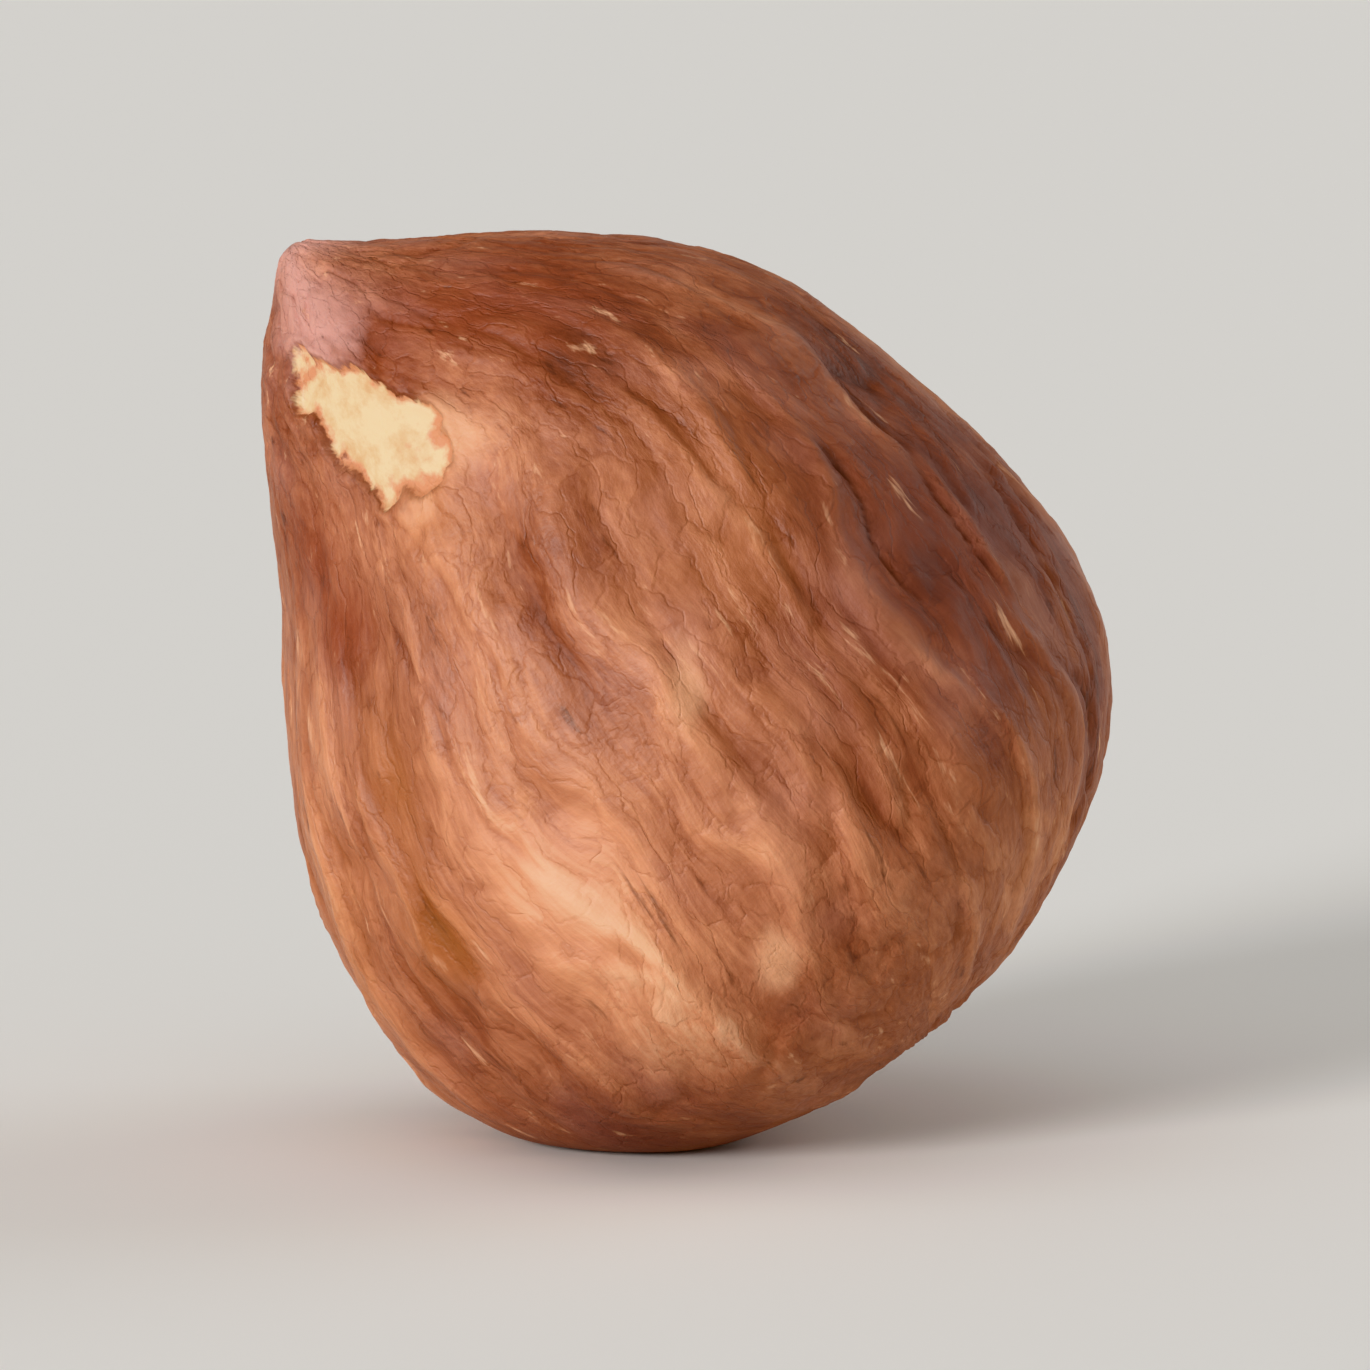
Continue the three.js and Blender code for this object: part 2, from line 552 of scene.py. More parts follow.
    scar_radius: float = 1.7
    scar_edge: Waver = Waver(across_mm=1.3, along_mm=1.3, seed=12.0, octaves=3, strength=0.5)
    scar_roughness: Waver = Waver(across_mm=0.5, along_mm=0.5, seed=77.0, octaves=3, strength=0.035)
    scar_fade: tuple[float, float] = (-0.3, 0.4)        # from inside its radius to outside
    scar_depth: float = 0.06
    rim_outside: float = 0.25       # from the scar's radius to the rim's crest
    rim_height: float = 0.03
    rim_reach: float = 0.4

    come_and_go: tuple[float, float] = (-0.4, 0.4)      # noise from least to most
    fade_at_ends: float = 0.6       # how fast the relief dies out towards the tip and the base
    flat_below: float = 0.05        # nothing is raised on the flat spot,
    free_above: float = 0.9         # and everything is from here up
    tone_of_relief: float = 1.4     # how strongly height tells in the skin's tone: painted shade in the creases, paler on the rubbed ridges
    most_tone_of_relief: float = 0.32

    def work(self, piece: Object, growth: Growth) -> None:
        """Moves the vertices along their normals by the relief, and writes the marks on them.

        Args:
            piece: the smooth kernel.
            growth: where each of its vertices lies on the skin.
        """
        ends = np.clip(growth.girth_mm / growth.radius_mm, 0.0, 1.0) ** self.fade_at_ends
        veins = self.veins.crests(growth) * ends
        worn = rise(self.scuffs.over(growth), *self.scuff_edge)
        torn = self.bare.distance(growth) + self.tear.over(growth)
        bare = 1 - rise(torn, *self.flesh_edge)
        scar = self._scar(growth)
        tip = self._tip(growth)

        coat = self._folds(growth) * ends + self.veins.height_mm * veins - self.scuff_depth * worn
        coat += sum(ridge.relief(growth) for ridge in self.ridges) * ends
        coat = coat * (1 - bare) * (1 - scar)
        height = coat + bare * (self.flesh_grain.over(growth) - self.flesh_depth)
        height += self.lip_height * self._lip(growth, torn)
        height += self._scar_relief(growth, scar) + self.nub_height * tip
        self._raise(piece, height)

        uneven, most = self.mark_edge.over(growth), self.most_tone_of_relief
        marks = {
            "relief": np.clip(coat * self.tone_of_relief, -most, most),
            "veins": veins,
            "worn": worn,
            "bare": np.clip(1 + BARE_EDGE - torn, 0.0, 1.0),
            "paper": self._paper(growth, tip),
            "scar": scar,
            "tone_and_painted_light": cover(self.tones_and_painted_light, growth, uneven),
            "fleck": np.clip(cover(self.flecks, growth, self.fleck_edge.over(growth)), 0.0, 1.0),
        }
        stretches = {"golden": self.golden, "plum_and_painted_shade": self.plum_and_painted_shade, "reddened": self.reddened}
        for name, patches in stretches.items():
            marks[name] = np.clip(cover(patches, growth, uneven), 0.0, 1.0)
        for name in MARKS:
            mark = piece.data.attributes.new(name, "FLOAT", "POINT")
            mark.data.foreach_set("value", marks[name])
        grain = piece.data.attributes.new("grain", "FLOAT_VECTOR", "POINT")
        grain.data.foreach_set("vector", growth.grain().ravel())

    def _raise(self, piece: Object, height: np.ndarray) -> None:
        """Moves the vertices along their normals, all but those on the flat spot.

        Args:
            piece: the kernel.
            height: how far each vertex moves out.
        """
        mesh = piece.data
        places, normals = np.empty(height.size * 3), np.empty(height.size * 3)
        mesh.vertices.foreach_get("co", places)
        mesh.vertex_normals.foreach_get("vector", normals)
        places, normals = places.reshape(-1, 3), normals.reshape(-1, 3)
        free = rise(places[:, 2] / MM, self.flat_below, self.free_above)
        places = places + normals * (height * free * MM)[:, None]
        places[:, 2] = np.maximum(places[:, 2], 0.0)
        mesh.vertices.foreach_set("co", places.ravel())
        mesh.update()

    def _folds(self, growth: Growth) -> np.ndarray:
        """Soft pleats, the sharp creases between them, and the wrinkles of the dried skin.

        Args:
            growth: where each vertex lies on the skin.

        Returns:
            Their height at each vertex.
        """
        creases = -self.crease_depth * bell(self.creases.over(growth), self.crease_width)
        fine_creases = -self.fine_crease_depth * bell(self.fine_creases.over(growth), self.crease_width)
        drawn = rise(self.drawn.over(growth), *self.come_and_go)
        drawn = self.least_drawn + (1 - self.least_drawn) * drawn
        drawn += self.drawn_at_tip * bell(growth.along, self.drawn_tip_reach)
        sharp = creases + fine_creases + self.wrinkles.over(growth)
        return self.pleats.over(growth) + sharp * drawn + self.crackle.over(growth)

    def _lip(self, growth: Growth, torn: np.ndarray) -> np.ndarray:
        """The curled lip of skin round the bare patch, which comes and goes.

        Args:
            growth: where each vertex lies on the skin.
            torn: how far out from the bare patch each vertex lies.

        Returns:
            1 on the lip's crest where it is highest.
        """
        whole = rise(self.lip_breaks.over(growth), *self.come_and_go)
        crest = bell(torn - self.lip_place, self.lip_reach)
        return crest * (self.least_lip + (1 - self.least_lip) * whole)

    def _tip(self, growth: Growth) -> np.ndarray:
        """The small nub that the kernel ends in."""
        return bell(growth.girth_mm, self.nub_radius) * (growth.along < HALFWAY)

    def _paper(self, growth: Growth, tip: np.ndarray) -> np.ndarray:
        """Where the skin is worn thin and pink: on the nub and below it, down to the bare patch.

        Args:
            growth: where each vertex lies on the skin.
            tip: the nub.

        Returns:
            1 where the skin is pinkest.
        """
        ragged = self.paper_edge.over(growth)
        side = bell(growth.apart(self.paper_turn), self.paper_reach)
        side *= 1 - rise(growth.along + ragged, *self.paper_end)
        return np.clip(np.maximum(tip + ragged * self.nub_raggedness, side), 0.0, 1.0)

    def _scar(self, growth: Growth) -> np.ndarray:
        """The round scar in the middle of the base, where the veins enter.

        Args:
            growth: where each vertex lies on the skin.

        Returns:
            1 on the scar.
        """
        ragged = growth.girth_mm - self.scar_radius + self.scar_edge.over(growth)
        return (1 - rise(ragged, *self.scar_fade)) * (growth.along > HALFWAY)

    def _scar_relief(self, growth: Growth, scar: np.ndarray) -> np.ndarray:
        """The scar is rough and sunk a little inside a low rim.

        Args:
            growth: where each vertex lies on the skin.
            scar: 1 on the scar.

        Returns:
            Its height at each vertex.
        """
        outside = growth.girth_mm - self.scar_radius - self.rim_outside
        rim = bell(outside, self.rim_reach) * (growth.along > HALFWAY)
        return scar * (self.scar_roughness.over(growth) - self.scar_depth) + self.rim_height * rim


@dataclass(frozen=True)
class Pattern:
    """A noise pattern of the skin: its width and how drawn out it is from tip to base."""

    name: str
    size_mm: float
    stretch: float = 1.0
    detail: float = 3.0
    roughness: float = 0.5


@dataclass(frozen=True)
class Share:
    """How much a source counts for, and the value of it that changes nothing."""

    source: str
    weight: float
    middle: float = 0.0


@dataclass(frozen=True)
class Layer:
    """A colour laid over the one below: none where its source is at `start`, `most` at `end`."""

    source: str
    start: float
    end: float
    most: float
    colour: SkinColour


@dataclass
class Drawing:
    """A material while it is drawn: its node tree, and each source that it reads, by name."""

    tree: NodeTree
    sources: dict[str, NodeSocket]

    def draw(self, pattern: Pattern) -> Node:
        """Draws a noise pattern along the grain of the skin.

        Args:
            pattern: the size and the form of the noise.

        Returns:
            The noise, whose values lie near 0.5.
        """
        width, length = 1 / pattern.size_mm, 1 / (pattern.size_mm * pattern.stretch)
        place = add_node(
            self.tree,
            "Mapping",
            links={"Vector": self.sources["grain"]},
            values={"Scale": (width, width, length)},
        )
        return add_node(
            self.tree,
            "TexNoise",
            links={"Vector": place.outputs["Vector"]},
            values={"Scale": 1.0, "Detail": pattern.detail, "Roughness": pattern.roughness},
        )

    def add_up(self, shares: tuple[Share, ...], plain: float = 0.0) -> NodeSocket:
        """Adds up sources by their weights.

        Args:
            shares: what is added.
            plain: the sum where every source has its middle value.

        Returns:
            The sum.
        """
        total = None
        for share in shares:
            total = add_node(
                self.tree,
                "Math",
                links={0: self.sources[share.source]} | ({2: total} if total else {}),
                values={1: share.weight, 2: plain - sum(s.weight * s.middle for s in shares)},
                operation="MULTIPLY_ADD",
            ).outputs["Value"]
        return total

    def lay(self, layers: tuple[Layer, ...], colour: NodeSocket) -> NodeSocket:
        """Lays layers over a colour, one after the other.

        Args:
            layers: their colours, and where they go.
            colour: the colour that they cover.

        Returns:
            The colour of all of them.
        """
        for layer in layers:
            share = add_node(
                self.tree,
                "MapRange",
                links={"Value": self.sources[layer.source]},
                values={"From Min": layer.start, "From Max": layer.end, "To Max": layer.most},
            ).outputs["Result"]
            colour = add_node(
                self.tree,
                "MixRGB",
                links={"Fac": share, "Color1": colour},
                values={"Color2": linear(layer.colour.value)},
            ).outputs["Color"]
        return colour


@dataclass(frozen=True)
class PaperySkin:
    """The seed coat, dried on the nut: thin, fibrous and satin, with flesh where it has flaked.

    It scatters like paper, so its gloss is broad. Long fibres give it fine streaks from tip to
    base. It is paler on the veins and ridges that rub against other nuts, and painted darker in
    the creases as shade.
    """

    # Real fibres are near 0.02 mm wide, too fine to show, so they are drawn four times as wide.
    # The tear frays the edge of the bare patch, and the film and the cloud lie on its flesh.
    patterns: tuple[Pattern, ...] = (
        Pattern("fibre", size_mm=0.08, stretch=11.0, detail=3.0, roughness=0.62),
        Pattern("streak", size_mm=0.30, stretch=7.0, detail=4.0, roughness=0.62),
        Pattern("band", size_mm=1.25, stretch=3.5, detail=3.0, roughness=0.62),
        Pattern("mottle", size_mm=2.3, detail=6.0, roughness=0.62),
        Pattern("wrinkle", size_mm=0.24, detail=6.0, roughness=0.6),
        Pattern("tear", size_mm=0.16),
        Pattern("film", size_mm=0.45, detail=4.0, roughness=0.6),
        Pattern("cloud", size_mm=0.7, detail=5.0, roughness=0.7),
    )
    edge_shares: tuple[Share, ...] = (
        Share("bare", 1.0),
        Share("tear", 0.35, 0.5),
    )
    scale_mm: float = 0.42          # the coat's outer layer dries into small long scales
    scale_stretch: float = 3.0
    scale_bend: Pattern = Pattern("scale_bend", size_mm=0.4545)
    scale_bend_mm: tuple[float, float, float] = (0.55, 0.55, 0.9)
    crack_width: float = 0.07       # share of a scale
    tone_shares: tuple[Share, ...] = (
        Share("fibre", 0.40, 0.5),
        Share("streak", 0.28, 0.5),
        Share("band", 0.25, 0.5),
        Share("mottle", 0.50, 0.5),
        Share("scale", 0.12, 0.5),
        Share("crack", -0.045, 0.15),
        # painted shade in the creases, and paler on the rubbed ridges
        Share("relief", 1.0),
        Share("veins", 0.10, 0.2),
        Share("worn", 0.12, 0.25),
        # the listed tones, among them painted shade, a painted shadow and a painted highlight
        Share("tone_and_painted_light", 1.0),
        Share("fleck", 0.24),
    )
    plain_tone: float = 0.5
    tone_ramp: tuple[tuple[float, SkinColour], ...] = (
        (0.0, SkinColour.UMBER),
        (0.26, SkinColour.CHESTNUT),
        (0.5, SkinColour.RUSSET),
        (0.74, SkinColour.ORANGE_TAN),
        (1.0, SkinColour.STRAW),
    )
    skin_layers: tuple[Layer, ...] = (
        Layer("golden", 0.0, 1.0, 0.50, SkinColour.GOLD),
        # painted shade on the upper right and at the bottom, and plum colour on the back
        Layer("plum_and_painted_shade", 0.0, 1.0, 0.70, SkinColour.PLUM_AND_PAINTED_SHADE),
        Layer("reddened", 0.0, 1.0, 0.55, SkinColour.RED_BROWN),
        Layer("paper", 0.0, 1.0, 0.75, SkinColour.PINK_PAPER),
        Layer("scar", 0.0, 1.0, 0.45, SkinColour.SCAR_GREY),
        Layer("fleck", 0.15, 0.75, 0.40, SkinColour.STRAW),
        Layer("streak", 0.64, 0.74, 0.7, SkinColour.STRAW),     # where a scale has rubbed pale
        Layer("streak", 0.36, 0.27, 0.6, SkinColour.UMBER),     # dark pits left by drying
    )
    # Past the dark shadow of the torn edge, a thin film of inner skin is left on the flesh.
    torn_layers: tuple[Layer, ...] = (
        Layer("edge", 0.32, 0.47, 0.26, SkinColour.UMBER),
        Layer("edge", 0.48, 0.53, 1.0, SkinColour.ORANGE_TAN),
    )
    flesh_ramp: tuple[tuple[float, SkinColour], ...] = (
        (0.36, SkinColour.CREAM_SHADE),
        (0.54, SkinColour.CREAM),
    )
    flesh_shares: tuple[Share, ...] = (
        Share("edge", 1.0),
        Share("film", -0.9),
        Share("fleck", -0.22),
    )
    flesh_edge: tuple[float, float] = (0.08, 0.26)      # the sums from no flesh to all flesh
    # Dull in the creases, on the scuffs, on the plum stretches and on the painted shade, and waxy on the
    # flesh.
    roughness_shares: tuple[Share, ...] = (
        Share("streak", 1.0),
        Share("relief", -0.5),
        Share("worn", 0.25),
        Share("plum_and_painted_shade", 0.30),
        Share("flesh", -0.2),
    )
    dullness: tuple[float, float] = (0.25, 0.85)        # the sums of these shares that give
    roughness: tuple[float, float] = (0.44, 0.64)       # the least and the most roughness
    # Relief finer than the mesh, with its heights in millimetres. A negative one is a dip.
    bumps: tuple[Share, ...] = (
        Share("torn_skin", 0.015),
        Share("wrinkle", 0.035),
        Share("fibre", 0.012),
        Share("crack", -0.008),
    )
    skin_end: tuple[float, float] = (0.42, 0.58)        # where the torn skin thins out to nothing
    bump_on_flesh: float = 0.25
    ior: float = 1.46
    scatter_weight: float = 0.06
    scatter_mm: float = 0.7
    scatter_colours: tuple[float, float, float] = (1.0, 0.5, 0.25)

    def material(self) -> Material:
        """Builds the skin's material.

        Returns:
            A material that reads the marks written on the kernel.
        """
        material, tree = empty_material("papery_hazelnut_skin")
        grain = add_node(tree, "Attribute", attribute_name="grain").outputs["Vector"]
        drawing = Drawing(tree, {"grain": grain})
        sources = drawing.sources
        for mark in MARKS:
            sources[mark] = add_node(tree, "Attribute", attribute_name=mark).outputs["Fac"]
        for pattern in self.patterns:
            sources[pattern.name] = drawing.draw(pattern).outputs["Fac"]
        sources["scale"], sources["crack"] = self._scales(drawing)
        sources["edge"] = drawing.add_up(self.edge_shares)
        colour, sources["flesh"] = self._flesh(drawing, self._skin(drawing))
        shader = add_node(
            tree,
            "BsdfPrincipled",
            links={
                "Base Color": colour,
                "Roughness": self._roughness(drawing),
                "Normal": self._bumped(drawing),
            },
            values={
                "IOR": self.ior,
                "Subsurface Weight": self.scatter_weight,
                "Subsurface Radius": self.scatter_colours,
                "Subsurface Scale": self.scatter_mm * MM,
            },
        )
        add_node(tree, "OutputMaterial", links={"Surface": shader.outputs["BSDF"]})
        return material

    def _scales(self, drawing: Drawing) -> tuple[NodeSocket, NodeSocket]:
        """The small long scales that the coat's outer layer has dried into.

        Args:
            drawing: the material.

        Returns:
            A tone for each scale, and 1 in the cracks between them.
        """
        bent = add_node(
            drawing.tree,
            "VectorMath",
            links={0: drawing.draw(self.scale_bend).outputs["Color"], 2: drawing.sources["grain"]},
            values={1: self.scale_bend_mm},
            operation="MULTIPLY_ADD",
        )
        width, length = 1 / self.scale_mm, 1 / (self.scale_mm * self.scale_stretch)
        place = add_node(
            drawing.tree,
            "Mapping",
            links={"Vector": bent.outputs["Vector"]},
            values={"Scale": (width, width, length)},
        ).outputs["Vector"]
        cells, edges = (
            add_node(
                drawing.tree,
                "TexVoronoi",
                links={"Vector": place},
                values={"Scale": 1.0},
                feature=feature,
            )
            for feature in ("F1", "DISTANCE_TO_EDGE")
        )
        cracks = add_node(
            drawing.tree,
            "MapRange",
            links={"Value": edges.outputs["Distance"]},
            values={"From Min": self.crack_width, "From Max": 0.0},
        )
        return cells.outputs["Color"], cracks.outputs["Result"]

    def _skin(self, drawing: Drawing) -> NodeSocket:
        """The whole skin's colour: umber to straw by its tone, with coloured stretches and flecks.

        Args:
            drawing: the material.

        Returns:
            The colour of the skin where it is whole.
        """
        tone_and_painted_light = add_node(
            drawing.tree,
            "ValToRGB",
            links={"Fac": drawing.add_up(self.tone_shares, self.plain_tone)},
            stops=self.tone_ramp,
        )
        return drawing.lay(self.skin_layers, tone_and_painted_light.outputs["Color"])

    def _flesh(self, drawing: Drawing, skin: NodeSocket) -> tuple[NodeSocket, NodeSocket]:
        """The skin's colour with the cloudy cream flesh where it is bare.

        Args:
            drawing: the material.
            skin: the colour of the whole skin.

        Returns:
            The colour of the kernel, and 1 on the flesh.
        """
        start, end = self.flesh_edge
        flesh = add_node(
            drawing.tree,
            "MapRange",
            links={"Value": drawing.add_up(self.flesh_shares)},
            values={"From Min": start, "From Max": end},
        ).outputs["Result"]
        cream = add_node(
            drawing.tree,
            "ValToRGB",
            links={"Fac": drawing.sources["cloud"]},
            stops=self.flesh_ramp,
        ).outputs["Color"]
        torn = drawing.lay(self.torn_layers, skin)
        mix = add_node(
            drawing.tree, "MixRGB", links={"Fac": flesh, "Color1": torn, "Color2": cream}
        )
        return mix.outputs["Color"], flesh

    def _roughness(self, drawing: Drawing) -> NodeSocket:
        """How broad the gloss is, which is satin on the ridges.

        Args:
            drawing: the material.

        Returns:
            The roughness.
        """
        (start, end), (least, most) = self.dullness, self.roughness
        return add_node(
            drawing.tree,
            "MapRange",
            links={"Value": drawing.add_up(self.roughness_shares)},
            values={"From Min": start, "From Max": end, "To Min": least, "To Max": most},
        ).outputs["Result"]

    def _bumped(self, drawing: Drawing) -> NodeSocket:
        """The relief that is finer than the mesh: wrinkles, fibres and the edges of the scales.

        Args:
            drawing: the material.

        Returns:
            The bumped normal.
        """
        strength = add_node(
            drawing.tree,
            "MapRange",
            links={"Value": drawing.sources["flesh"]},
            values={"To Min": 1.0, "To Max": self.bump_on_flesh},
        ).outputs["Result"]
        start, end = self.skin_end
        drawing.sources["torn_skin"] = add_node(
            drawing.tree,
            "MapRange",
            links={"Value": drawing.sources["edge"]},
            values={"From Min": start, "From Max": end, "To Min": 1.0, "To Max": 0.0},
        ).outputs["Result"]
        normal = None
        for bump in self.bumps:
            links = {"Height": drawing.sources[bump.source], "Strength": strength}
            normal = add_node(
                drawing.tree,
                "Bump",
                links=links | ({"Normal": normal} if normal else {}),
                values={"Distance": abs(bump.weight) * MM},
                invert=bump.weight < 0,
            ).outputs["Normal"]
        return normal


@dataclass
class Kernel:
    """The kernel's teardrop form, and the coat and finish on it. Lengths in millimetres."""

    length: float = 14.2
    width: float = 11.7
    depth: float = 11.3
    widest_along: float = 0.68
    lean: float = 37.0
    cone_fullness: float = 1.95
    cone_bluntness: float = 0.76
    dome_fullness: float = 2.25
    body_bow: float = 0.03          # shares of the length
    shoulder_bow: float = 0.047
    shoulder_along: float = 0.25
    shoulder_reach: float = 0.145
    segments: int = 48
    rings: int = 31
    fineness: int = 3
    wavers: tuple[Waver, ...] = (
        Waver(across_mm=3.4, along_mm=4.5, seed=17.0, strength=5.0),
        Waver(across_mm=1.1, along_mm=1.6, seed=27.0, strength=2.2),
    )
    coat: SeedCoat = field(default_factory=SeedCoat)
    skin: PaperySkin = field(default_factory=PaperySkin)

    def build(self) -> Object:
        """Shapes the kernel, works its skin and dresses it.

        Returns:
            The finished piece, which stands for the frame's kernel.
        """
        piece = self._blank()
        self._shape_rings(piece)
        self._lean_over(piece)
        self._draw_on_to_frame(piece)
        apply_modifier(piece, "SUBSURF", levels=self.fineness, render_levels=self.fineness)
        self.coat.work(piece, self._growth(piece).wavered(self.wavers))
        self._dress(piece)
        return piece

    def outline(self, along: float) -> float:
        """Half the width at a place along the kernel.

        Args:
            along: the place, from the tip (0) to the base (1).

        Returns:
            A blunt cone's half width above the widest ring, and a full dome's below it.
        """
        if along < self.widest_along:
            up = (self.widest_along - along) / self.widest_along
            return self.width / 2 * (1 - up**self.cone_fullness) ** self.cone_bluntness
        down = (along - self.widest_along) / (1 - self.widest_along)
        return self.width / 2 * math.sqrt(max(0.0, 1 - down**self.dome_fullness))

    def bow(self, along: float) -> float:
        """How far a ring's middle lies to the right of the straight axis.

        Args:
            along: the ring's place, from the tip (0) to the base (1).

        Returns:
            The distance in millimetres.
        """
        shoulder = (along - self.shoulder_along) / self.shoulder_reach
        share = self.shoulder_bow * math.exp(-(shoulder**2)) + self.body_bow * math.sin(math.pi * along)
        return share * self.length

    def _blank(self) -> Object:
        """A sphere as wide as the kernel, with its growth written on its vertices.

        Returns:
            The sphere. Its "grown" attribute holds the direction round the axis, and how far
            along each vertex lies.
        """
        bpy.ops.object.select_all(action="DESELECT")
        bpy.ops.mesh.primitive_uv_sphere_add(
            segments=self.segments, ring_count=self.rings, radius=self.width / 2 * MM
        )
        piece = bpy.context.object
        piece.name = "hazelnut_kernel"
        places = np.array([v.co[:] for v in piece.data.vertices]) / (self.width / 2 * MM)
        reach = np.hypot(places[:, 0], places[:, 1])
        on_axis = reach < ON_AXIS
        directions = places[:, :2] / np.where(on_axis, 1.0, reach)[:, None]
        directions[on_axis] = 0.0
        grown = piece.data.attributes.new("grown", "FLOAT_VECTOR", "POINT")
        grown.data.foreach_set("vector", np.column_stack((directions, (1 - places[:, 2]) / 2)).ravel())
        return piece

    def _shape_rings(self, piece: Object) -> None:
        """Turns the sphere into the teardrop, ring by ring, and gives it its oval section.

        Args:
            piece: the sphere.
        """
        radius = self.width / 2
        with editing(piece):
            bpy.ops.mesh.select_mode(type="VERT")
            mesh = bmesh.from_edit_mesh(piece.data)
            grown = mesh.verts.layers.float_vector["grown"]
            for ring in range(self.rings + 1):
                angle = math.pi * ring / self.rings
                along = (1 - math.cos(angle)) / 2
                height = radius * math.cos(angle)
                for vert in mesh.verts:
                    vert.select_set(abs(vert[grown].z - along) < SAME_RING)
                mesh.select_flush_mode()
                if 0 < ring < self.rings:
                    size = self.outline(along) / (radius * math.sin(angle))
                    middle = (0.0, 0.0, height * MM)
                    bpy.ops.transform.resize(value=(size, size, 1.0), center_override=middle)
                lift = self.length * (HALFWAY - along) - height
                bpy.ops.transform.translate(value=(self.bow(along) * MM, 0.0, lift * MM))
            bpy.ops.mesh.select_all(action="SELECT")
            oval = (1.0, self.depth / self.width, 1.0)
            bpy.ops.transform.resize(value=oval, center_override=(0.0, 0.0, 0.0))

    def _lean_over(self, piece: Object) -> None:
        """Leans the tip over to the left and sets the kernel where the frame has it.

        Args:
            piece: the upright teardrop.
        """
        with editing(piece):
            bpy.ops.transform.rotate(
                value=math.radians(self.lean), orient_axis="Y", center_override=(0.0, 0.0, 0.0)
            )
        places = np.array([v.co[:] for v in piece.data.vertices])
        low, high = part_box(NODE)
        shift = (low + high - Vector(places.min(axis=0)) - Vector(places.max(axis=0))) / 2
        shift.z = high.z - places[:, 2].max()
        with editing(piece):
            bpy.ops.transform.translate(value=shift)

    def _draw_on_to_frame(self, piece: Object) -> None:
        """Draws the form on to the frame's kernel, which brings its cheeks, ridges and flat spot.

        Args:
            piece: the leaning teardrop.
        """
        target = bpy.data.objects.new("fixed_form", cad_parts[NODE].data.copy())
        bpy.context.scene.collection.objects.link(target)
        with editing(target):
            bpy.ops.mesh.remove_doubles(threshold=SAME_POINT)
        apply_modifier(piece, "SHRINKWRAP", target=target, wrap_method="NEAREST_SURFACEPOINT")
        bpy.data.objects.remove(target)

    def _growth(self, piece: Object) -> Growth:
        """Reads each vertex's place on the grown skin back from its attribute.

        Args:
            piece: the fine, smooth kernel.

        Returns:
            The growth of all its vertices.
        """
        grown = np.empty(len(piece.data.vertices) * 3)
        piece.data.attributes["grown"].data.foreach_get("vector", grown)
        side_x, side_y, along = grown.reshape(-1, 3).T
        along = np.clip(along, 0.0, 1.0)
        return Growth(
            along=along,
            turn=np.degrees(np.arctan2(side_x, -side_y)),
            girth_mm=np.array([self.outline(place) for place in along]),
            radius_mm=self.width / 2,
            length_mm=self.length,
        )

    def _dress(self, piece: Object) -> None:
        """Gives the piece its skin and its place in the frame.

        Args:
            piece: the worked kernel.
        """
        pick(piece)
        bpy.ops.object.shade_smooth()
        piece.data.materials.clear()
        piece.data.materials.append(self.skin.material())
        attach(piece, "root")
        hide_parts(NODE)


@dataclass(frozen=True)
class SoftLight:
    """A far soft light: where it stands round the kernel and above it, in degrees."""

    name: str
    azimuth: float
    elevation: float
    spread: float
    power: float


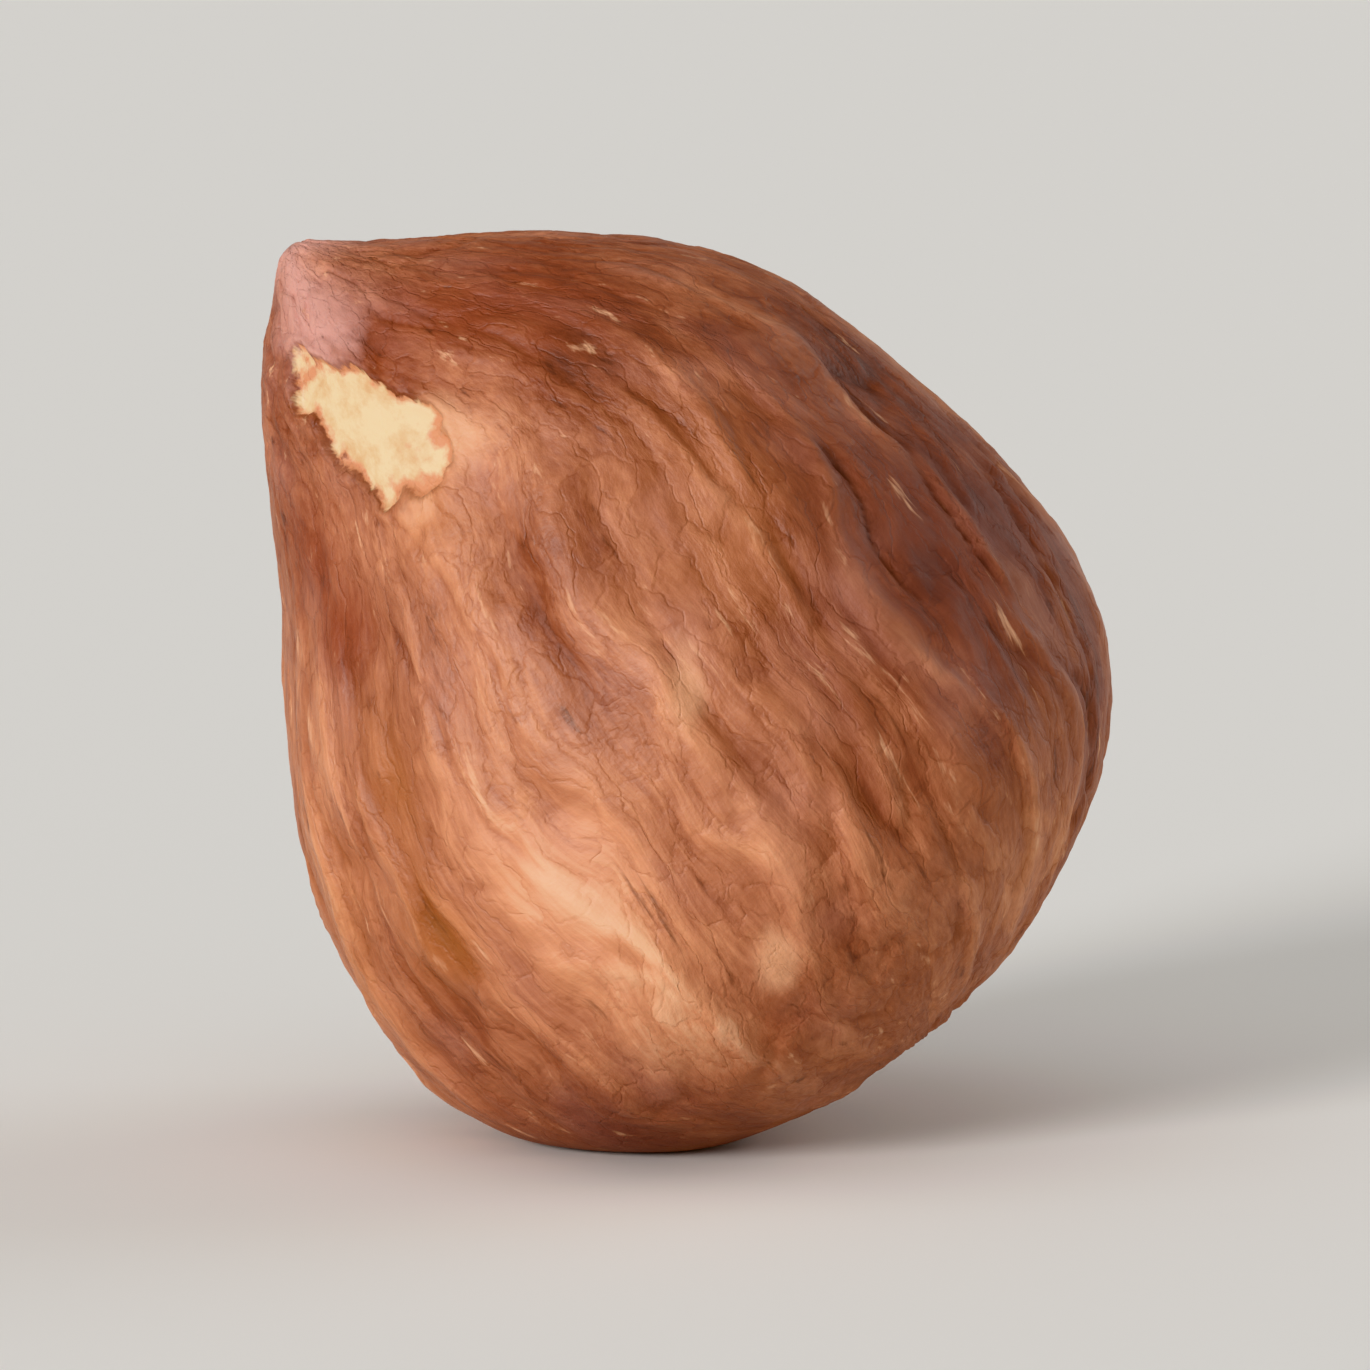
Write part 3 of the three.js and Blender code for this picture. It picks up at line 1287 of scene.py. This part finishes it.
@dataclass
class Studio:
    """The pale floor, the soft lights and the camera. Lengths in millimetres."""

    floor_radius: float = 880.0
    floor_sides: int = 96
    floor_edge: float = 20.0
    floor_edge_steps: int = 4
    floor_colour: str = "#eceae6"
    floor_roughness: float = 0.9
    floor_ior: float = 1.4
    lens: float = 200.0
    sensor: float = 36.0
    elevation: float = 7.0
    frame_share: float = 0.66       # how much of the picture's height the kernel takes
    far_end: float = 3000.0         # nothing further off is seen
    lamp_height: float = 300.0      # where the lamps stand, though they light from far away
    glow_colour: str = "#f7f5f2"
    glow_above: float = 0.38
    glow_round: float = 0.77        # the backdrop, low down on every side
    backdrop_top: tuple[float, float] = (0.12, 0.45)    # sines of the elevations where it fades out
    lights: tuple[SoftLight, ...] = (
        SoftLight("key", azimuth=-40.0, elevation=16.0, spread=18.0, power=2.65),
        SoftLight("top", azimuth=-30.0, elevation=66.0, spread=60.0, power=0.4),
        SoftLight("rim", azimuth=118.0, elevation=24.0, spread=40.0, power=0.7),
    )

    def build(self) -> None:
        """Sets up the floor, the lights, the surroundings and the camera."""
        bpy.context.scene.view_settings.view_transform = "Khronos PBR Neutral"
        self._floor()
        for light in self.lights:
            self._light(light)
        self._surroundings()
        self._camera()

    def _floor(self) -> None:
        """A round board with a rounded edge, far wider than the kernel."""
        bpy.ops.object.select_all(action="DESELECT")
        bpy.ops.mesh.primitive_circle_add(
            vertices=self.floor_sides, radius=self.floor_radius * MM, fill_type="NGON"
        )
        floor = bpy.context.object
        floor.name = "studio_floor"
        with editing(floor):
            bpy.ops.mesh.select_mode(type="EDGE")
            bpy.ops.mesh.select_all(action="DESELECT")
            bpy.ops.mesh.select_non_manifold()
            down = {"value": (0.0, 0.0, -self.floor_edge * MM)}
            bpy.ops.mesh.extrude_edges_move(TRANSFORM_OT_translate=down)
        apply_modifier(
            floor, "BEVEL", width=self.floor_edge / 2 * MM, segments=self.floor_edge_steps
        )
        floor.data.materials.append(self._floor_finish())

    def _floor_finish(self) -> Material:
        """Matt painted board: pale, even and without gloss.

        Returns:
            Its material.
        """
        material, tree = empty_material("matt_painted_board")
        shader = add_node(
            tree,
            "BsdfPrincipled",
            values={
                "Base Color": linear(self.floor_colour),
                "Roughness": self.floor_roughness,
                "IOR": self.floor_ior,
            },
        )
        add_node(tree, "OutputMaterial", links={"Surface": shader.outputs["BSDF"]})
        return material

    def _light(self, light: SoftLight) -> None:
        """Adds a soft light so far away that it is as strong everywhere on the floor.

        Args:
            light: where it stands, and how soft and strong it is.
        """
        bpy.ops.object.light_add(type="SUN", location=(0.0, 0.0, self.lamp_height * MM))
        lamp = bpy.context.object
        lamp.name = light.name
        lamp.data.angle = math.radians(light.spread)
        lamp.data.energy = light.power
        turn, up = math.radians(light.azimuth), math.radians(light.elevation)
        towards = Vector((math.sin(turn) * math.cos(up), -math.cos(turn) * math.cos(up), math.sin(up)))
        lamp.rotation_euler = (-towards).to_track_quat("-Z", "Y").to_euler()

    def _surroundings(self) -> None:
        """A pale glow from all sides, brighter low down, where a lit backdrop would stand."""
        world = bpy.data.worlds.new("studio")
        bpy.context.scene.world = world
        world.use_nodes = True
        tree = world.node_tree
        tree.nodes.clear()
        towards = add_node(tree, "TexCoord").outputs["Generated"]
        height = add_node(tree, "SeparateXYZ", links={"Vector": towards}).outputs["Z"]
        fade_start, fade_end = self.backdrop_top
        strength = add_node(
            tree,
            "MapRange",
            links={"Value": height},
            values={
                "From Min": fade_start,
                "From Max": fade_end,
                "To Min": self.glow_round,
                "To Max": self.glow_above,
            },
        ).outputs["Result"]
        glow = add_node(
            tree,
            "Background",
            links={"Strength": strength},
            values={"Color": linear(self.glow_colour)},
        )
        add_node(tree, "OutputWorld", links={"Surface": glow.outputs["Background"]})

    def _camera(self) -> None:
        """A long lens a little above the height of the kernel, looking straight at its front."""
        low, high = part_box(NODE)
        middle = (low + high) / 2
        distance = (high - low).z / self.frame_share * self.lens / self.sensor
        tilt = math.radians(self.elevation)
        back = Vector((0.0, -math.cos(tilt), math.sin(tilt)))
        data = bpy.data.cameras.new("camera")
        data.lens = self.lens
        data.sensor_width = self.sensor
        data.clip_start = MM
        data.clip_end = self.far_end * MM
        camera = bpy.data.objects.new("camera", data)
        camera.location = middle + back * distance
        camera.rotation_euler = (-back).to_track_quat("-Z", "Y").to_euler()
        bpy.context.scene.collection.objects.link(camera)
        bpy.context.scene.camera = camera


def main() -> None:
    """Builds the studio and the kernel, and reports the piece."""
    logging.basicConfig(level=logging.INFO, format="%(message)s")
    Studio().build()
    piece = Kernel().build()
    log.info("%s: %d vertices, %d faces", piece.name, len(piece.data.vertices), len(piece.data.polygons))


if __name__ == "__main__":
    main()
